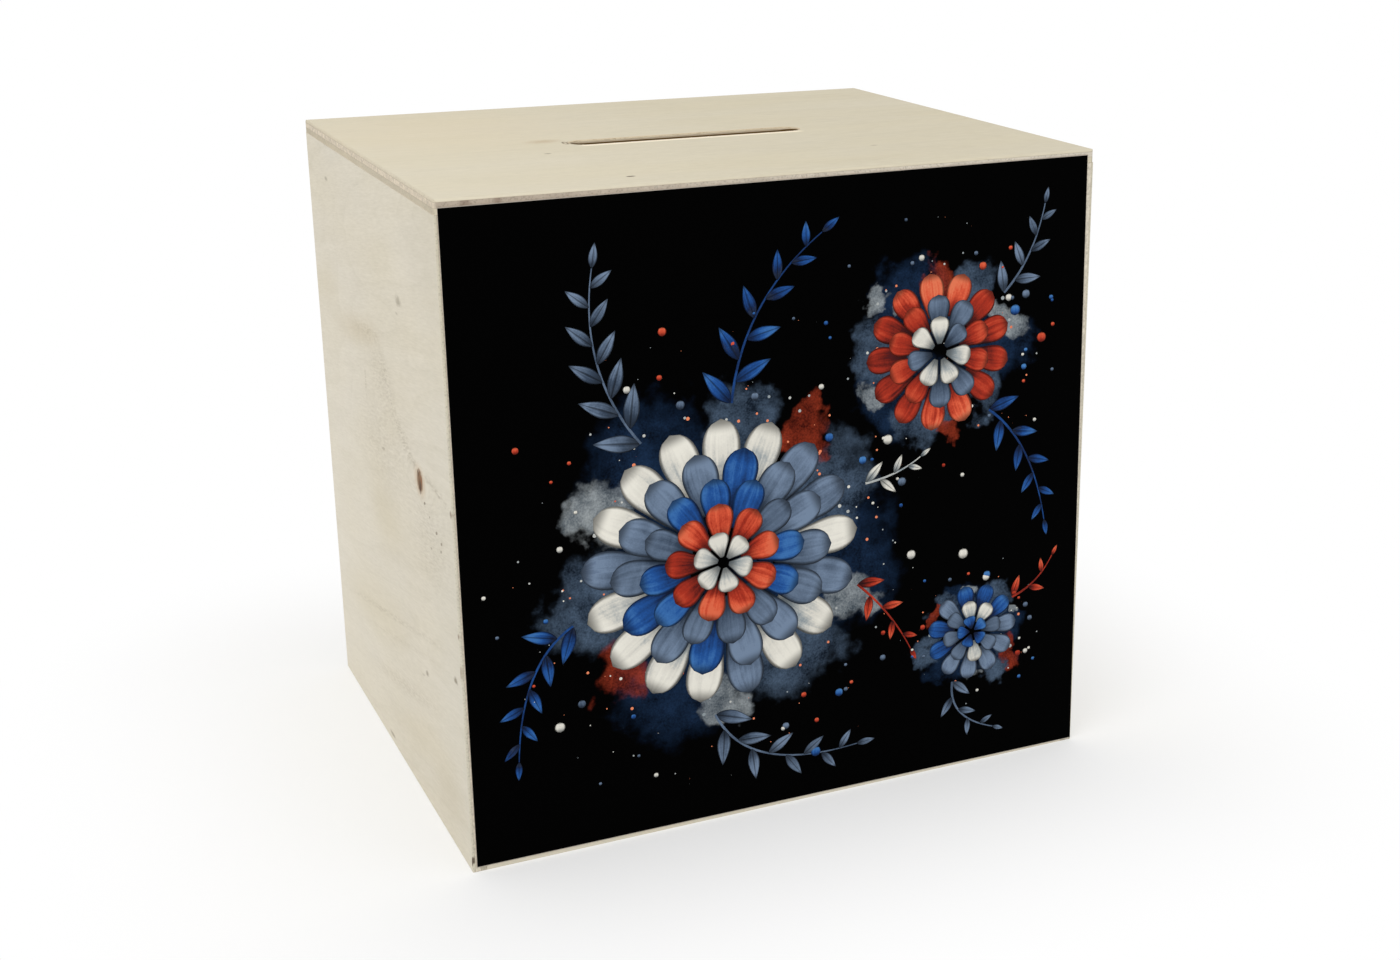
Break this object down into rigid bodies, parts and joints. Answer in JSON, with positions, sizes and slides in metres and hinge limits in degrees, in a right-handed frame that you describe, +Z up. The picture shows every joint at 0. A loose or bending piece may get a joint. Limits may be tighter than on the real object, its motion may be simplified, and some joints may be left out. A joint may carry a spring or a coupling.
{
  "type": "money box",
  "caption": "Plywood money box with glued butt-jointed boards, a coin slot routed through the top, a printed film on the front and a pull-out stopper in the base.",
  "frame": {"origin": "middle of the footprint, on the surface that the box stands on", "axes": "+Z up, -Y out of the printed front, +X to the right of someone facing the front"},
  "size_m": [0.12, 0.0972, 0.116],
  "materials": {
    "plywood": "bare, sanded",
    "stopper_plastic": "moulded, satin",
    "printed_film": "printed, satin"
  },
  "bodies": {
    "box": {"top_board": "plywood", "front_board": "plywood", "back_board": "plywood", "left_board": "plywood", "right_board": "plywood", "base_board": "plywood", "front_film": "printed_film"},
    "stopper": {"stopper": "stopper_plastic"}
  },
  "joints": [
    {"name": "stopper_pull", "type": "slide", "parent": "box", "child": "stopper", "axis": [0, 0, -1], "range_m": [0, 0.02]}
  ]
}
